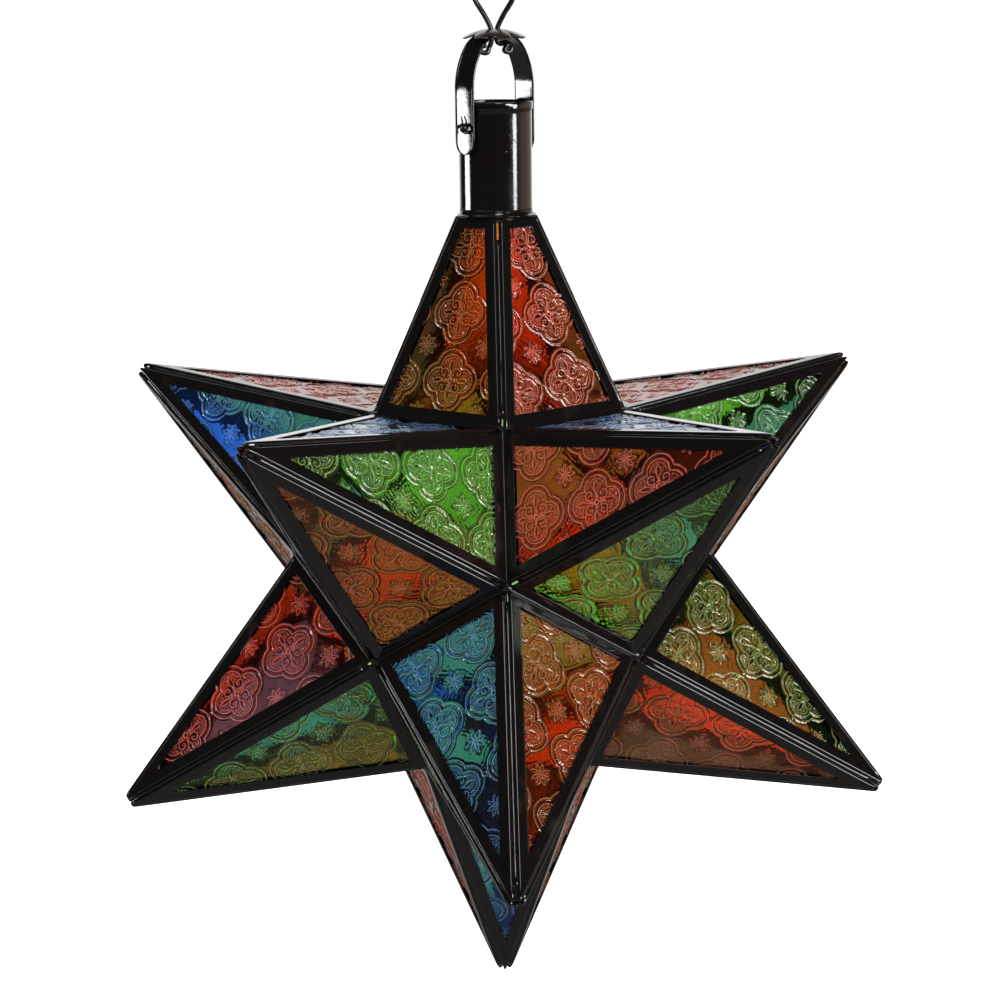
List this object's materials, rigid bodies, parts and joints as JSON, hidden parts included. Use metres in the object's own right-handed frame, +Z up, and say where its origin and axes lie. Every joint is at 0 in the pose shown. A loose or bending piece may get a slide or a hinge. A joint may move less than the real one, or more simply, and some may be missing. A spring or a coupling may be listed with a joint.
{
  "type": "candle lantern",
  "caption": "Hanging star candle lantern of embossed coloured glass panes in black channel frames, with a chimney neck, strap handle, wire eye and a hinged point for the candle.",
  "frame": {"origin": "inside top of the wire hanging eye, where a hook bears", "axes": "+Z up along the star's axis, +X to the right and -Y towards the viewer of the reference view; the loop of the eye lies in the XZ plane"},
  "size_m": [0.3366, 0.3528, 0.4748],
  "materials": {
    "black_paint": "gloss black paint over folded sheet and solder, brushed on by hand",
    "eye_wire": "black painted steel wire, slightly worn",
    "plain_wire": "bare steel wire, dull",
    "tinned_steel": "tinned sheet with soot and wax marks",
    "glass_red": "pressed glass with an embossed medallion pattern",
    "glass_amber": "pressed glass with an embossed medallion pattern",
    "glass_green": "pressed glass with an embossed medallion pattern",
    "glass_blue": "pressed glass with an embossed medallion pattern"
  },
  "bodies": {
    "eye": {"hanging_eye": "eye_wire"},
    "handle": {"handle_strap": "black_paint", "flower_washer": "black_paint"},
    "lantern": {"candle_cup": "tinned_steel", "cup_bridge": "tinned_steel", "door_stops": "black_paint", "frames_bottom": "black_paint", "frames_lower_back_left": "black_paint", "frames_lower_back_right": "black_paint", "frames_lower_front": "black_paint", "frames_lower_left": "black_paint", "frames_lower_right": "black_paint", "frames_top": "black_paint", "frames_upper_front_left": "black_paint", "frames_upper_front_right": "black_paint", "frames_upper_left": "black_paint", "frames_upper_right": "black_paint", "glass_bottom_amber": "glass_amber", "glass_bottom_blue": "glass_blue", "glass_bottom_green": "glass_green", "glass_bottom_red": "glass_red", "glass_lower_amber": "glass_amber", "glass_lower_blue": "glass_blue", "glass_lower_green": "glass_green", "glass_lower_red": "glass_red", "glass_top_amber": "glass_amber", "glass_top_blue": "glass_blue", "glass_top_green": "glass_green", "glass_top_red": "glass_red", "glass_upper_amber": "glass_amber", "glass_upper_blue": "glass_blue", "glass_upper_green": "glass_green", "glass_upper_red": "glass_red", "hinge_leaf_body": "black_paint", "hinge_pin": "plain_wire", "neck_tube": "black_paint", "solder_bottom": "black_paint", "solder_lower_back_left": "black_paint", "solder_lower_back_right": "black_paint", "solder_lower_front": "black_paint", "solder_lower_left": "black_paint", "solder_lower_right": "black_paint", "solder_neck": "black_paint", "solder_top": "black_paint", "solder_upper_front_left": "black_paint", "solder_upper_front_right": "black_paint", "solder_upper_left": "black_paint", "solder_upper_right": "black_paint", "split_pin_left": "black_paint", "split_pin_right": "black_paint"},
    "door": {"frames_upper_back": "black_paint", "glass_door_amber": "glass_amber", "glass_door_blue": "glass_blue", "glass_door_green": "glass_green", "glass_door_red": "glass_red", "hinge_leaf_door": "black_paint", "solder_upper_back": "black_paint"}
  },
  "joints": [
    {"name": "eye_swivel", "type": "hinge", "parent": "eye", "child": "handle", "pos_m": [0, 0, -0.03625], "axis": [0, 0, 1], "continuous": true},
    {"name": "handle_pivot", "type": "hinge", "parent": "handle", "child": "lantern", "pos_m": [0, 0, -0.07525], "axis": [0.766, 0.6428, 0], "range_deg": [-110, 110]},
    {"name": "door_hinge", "type": "hinge", "parent": "lantern", "child": "door", "pos_m": [0.04687, 0.06451, -0.22747], "axis": [0.309, 0.4253, -0.8507], "range_deg": [0, 95]}
  ]
}
